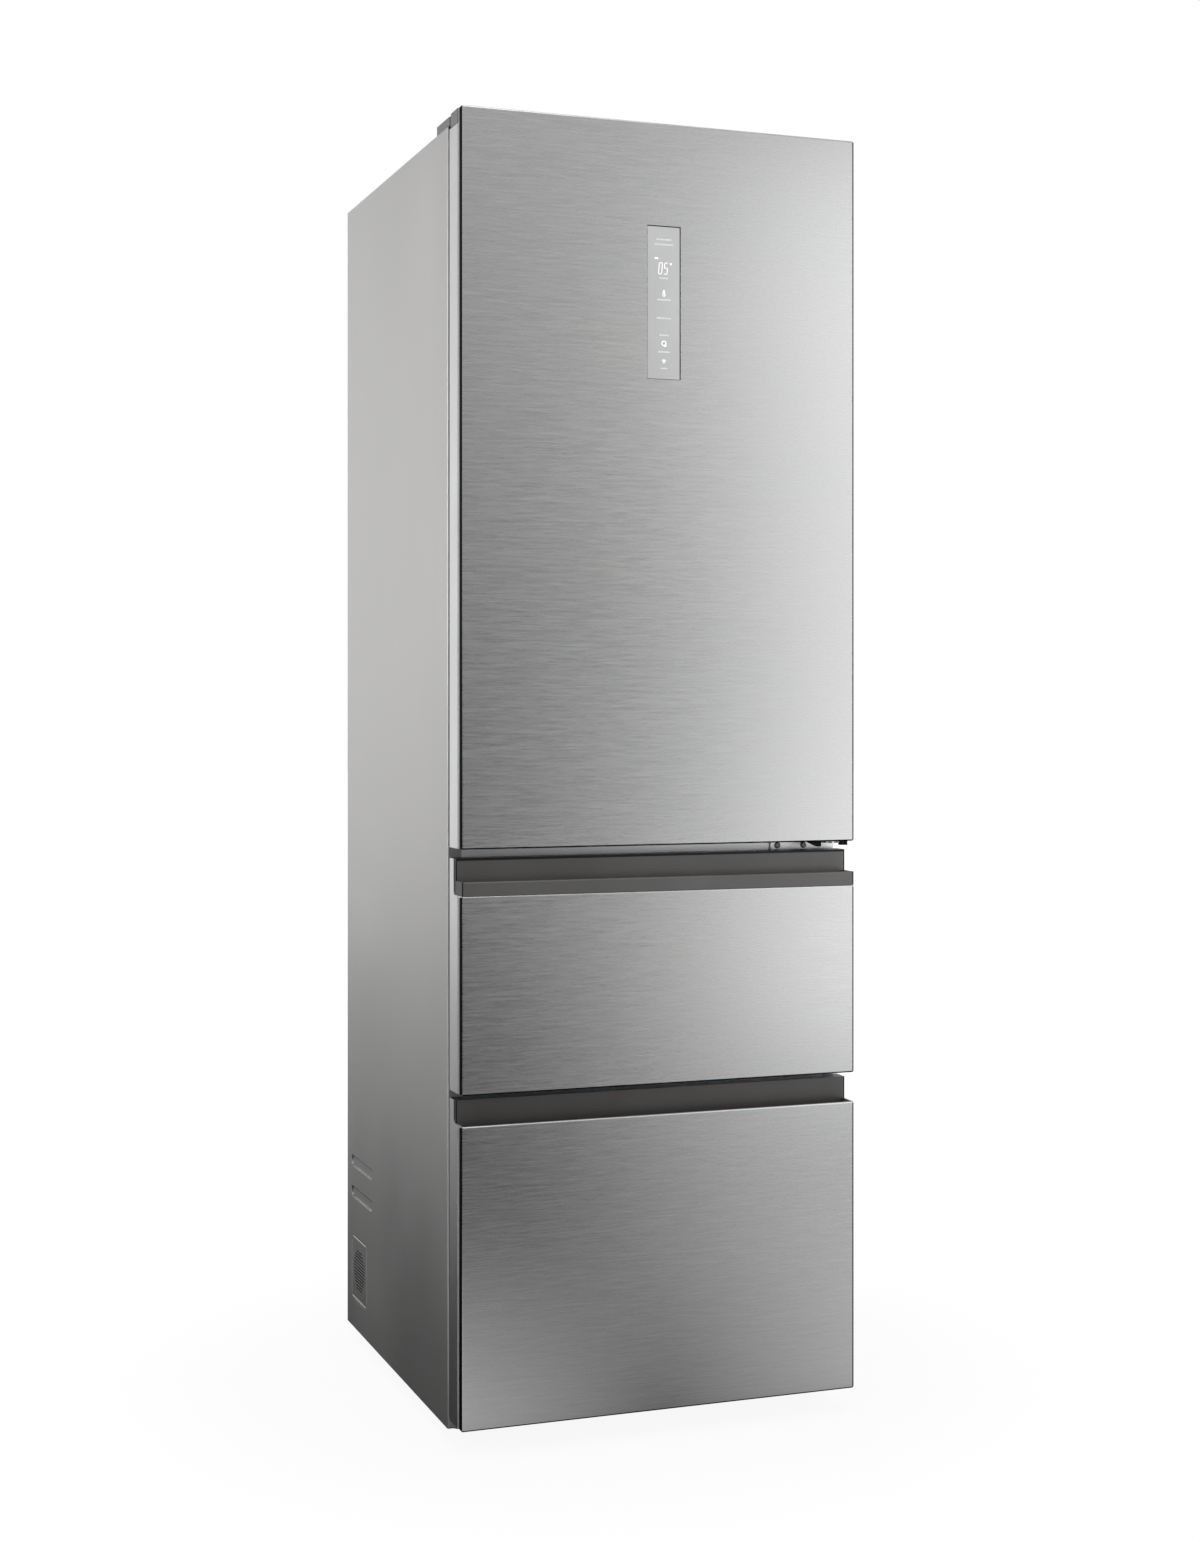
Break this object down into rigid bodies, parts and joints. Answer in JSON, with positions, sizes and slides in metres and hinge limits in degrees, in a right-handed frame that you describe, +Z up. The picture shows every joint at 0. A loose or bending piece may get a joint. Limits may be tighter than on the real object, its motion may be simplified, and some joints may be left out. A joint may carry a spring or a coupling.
{
  "type": "fridge freezer",
  "caption": "Tall free-standing fridge freezer: a hinged refrigerator door with a display strip over freezer drawers with recessed grips, in brushed steel",
  "frame": {"origin": "on the floor under the middle of the footprint", "axes": "+Z up, +X to the right seen from the front, +Y from the fronts to the back"},
  "size_m": [0.595, 0.667, 1.85],
  "materials": {
    "front_steel": "satin",
    "side_paint": "satin",
    "rail_paint": "satin",
    "zinc_steel": "matte",
    "runner_steel": "satin",
    "screw_steel": "polished",
    "frame_plastic": "satin",
    "cap_plastic": "matte",
    "grip_plastic": "satin",
    "liner_plastic": "satin",
    "foam": "matte",
    "shelf_glass": "gloss",
    "trim_plastic": "satin",
    "clear_plastic": "gloss",
    "seal_rubber": "matte",
    "display_glass": "gloss",
    "lamp_plastic": "satin",
    "fin_aluminium": "satin",
    "black_paint": "satin",
    "fan_plastic": "matte",
    "gland_rubber": "matte"
  },
  "bodies": {
    "cabinet": {"side_panel_left": "side_paint", "side_panel_right": "side_paint", "top_panel": "side_paint", "back_panel": "side_paint", "machine_room_deck": "zinc_steel", "base_plate": "zinc_steel", "cabinet_foam": "foam", "fridge_liner": "liner_plastic", "middle_liner": "liner_plastic", "bottom_liner": "liner_plastic", "centre_rail": "rail_paint", "lower_rail": "rail_paint", "top_cover": "cap_plastic", "top_hinge": "zinc_steel", "middle_hinge": "zinc_steel", "hinge_screws": "screw_steel", "glass_shelves": "shelf_glass", "shelf_trims": "trim_plastic", "chill_drawer": "clear_plastic", "crisper_drawer": "clear_plastic", "air_duct": "liner_plastic", "fridge_lamp": "lamp_plastic", "freezer_duct": "liner_plastic", "evaporator": "fin_aluminium", "compressor": "black_paint", "condenser": "black_paint", "fan_frame": "fan_plastic", "drain_pan": "trim_plastic", "machine_cover": "cap_plastic", "side_grille": "cap_plastic", "cord_gland": "gland_rubber", "runner_rails": "runner_steel"},
    "upper_door": {"door_front": "front_steel", "door_frame": "frame_plastic", "door_liner": "liner_plastic", "door_gasket": "seal_rubber", "display_panel": "display_glass", "door_bin_upper": "clear_plastic", "door_bin_middle": "clear_plastic", "door_bin_lower": "clear_plastic"},
    "middle_drawer": {"middle_front": "front_steel", "middle_frame": "frame_plastic", "middle_handle": "grip_plastic", "middle_gasket": "seal_rubber", "middle_bin": "clear_plastic", "middle_runners": "runner_steel"},
    "bottom_drawer": {"bottom_front": "front_steel", "bottom_frame": "frame_plastic", "bottom_handle": "grip_plastic", "bottom_gasket": "seal_rubber", "bottom_bin": "clear_plastic", "bottom_runners": "runner_steel"},
    "middle_slides": {"middle_slides": "runner_steel"},
    "bottom_slides": {"bottom_slides": "runner_steel"},
    "evaporator_fan": {"evaporator_fan": "fan_plastic"},
    "condenser_fan": {"condenser_fan": "fan_plastic"},
    "front_foot_left": {"front_foot_left": "fan_plastic"},
    "front_foot_right": {"front_foot_right": "fan_plastic"},
    "rear_roller_left": {"rear_roller_left": "fan_plastic"},
    "rear_roller_right": {"rear_roller_right": "fan_plastic"}
  },
  "joints": [
    {"name": "door_hinge", "type": "hinge", "parent": "cabinet", "child": "upper_door", "pos_m": [0.2835, -0.3015, 1.34], "axis": [0, 0, 1], "range_deg": [0, 115]},
    {"name": "middle_drawer_slide", "type": "slide", "parent": "cabinet", "child": "middle_drawer", "axis": [0, -1, 0], "range_m": [0, 0.4]},
    {"name": "middle_slides_slide", "type": "slide", "parent": "cabinet", "child": "middle_slides", "axis": [0, -1, 0], "range_m": [0, 0.2]},
    {"name": "bottom_drawer_slide", "type": "slide", "parent": "cabinet", "child": "bottom_drawer", "axis": [0, -1, 0], "range_m": [0, 0.4]},
    {"name": "bottom_slides_slide", "type": "slide", "parent": "cabinet", "child": "bottom_slides", "axis": [0, -1, 0], "range_m": [0, 0.2]},
    {"name": "front_foot_left_screw", "type": "slide", "parent": "cabinet", "child": "front_foot_left", "axis": [0, 0, -1], "range_m": [0, 0.015]},
    {"name": "front_foot_right_screw", "type": "slide", "parent": "cabinet", "child": "front_foot_right", "axis": [0, 0, -1], "range_m": [0, 0.015]},
    {"name": "rear_roller_left_spin", "type": "hinge", "parent": "cabinet", "child": "rear_roller_left", "pos_m": [-0.2555, 0.2865, 0.017], "axis": [1, 0, 0], "continuous": true},
    {"name": "rear_roller_right_spin", "type": "hinge", "parent": "cabinet", "child": "rear_roller_right", "pos_m": [0.2555, 0.2865, 0.017], "axis": [1, 0, 0], "continuous": true},
    {"name": "condenser_fan_spin", "type": "hinge", "parent": "cabinet", "child": "condenser_fan", "pos_m": [-0.197, 0.2457, 0.0995], "axis": [1, 0, 0], "continuous": true},
    {"name": "evaporator_fan_spin", "type": "hinge", "parent": "cabinet", "child": "evaporator_fan", "pos_m": [0, 0.208, 0.7485], "axis": [0, 1, 0], "continuous": true}
  ],
  "couplings": [
    {"joint": "middle_slides_slide", "follows": "middle_drawer_slide", "ratio": 0.5},
    {"joint": "bottom_slides_slide", "follows": "bottom_drawer_slide", "ratio": 0.5}
  ]
}
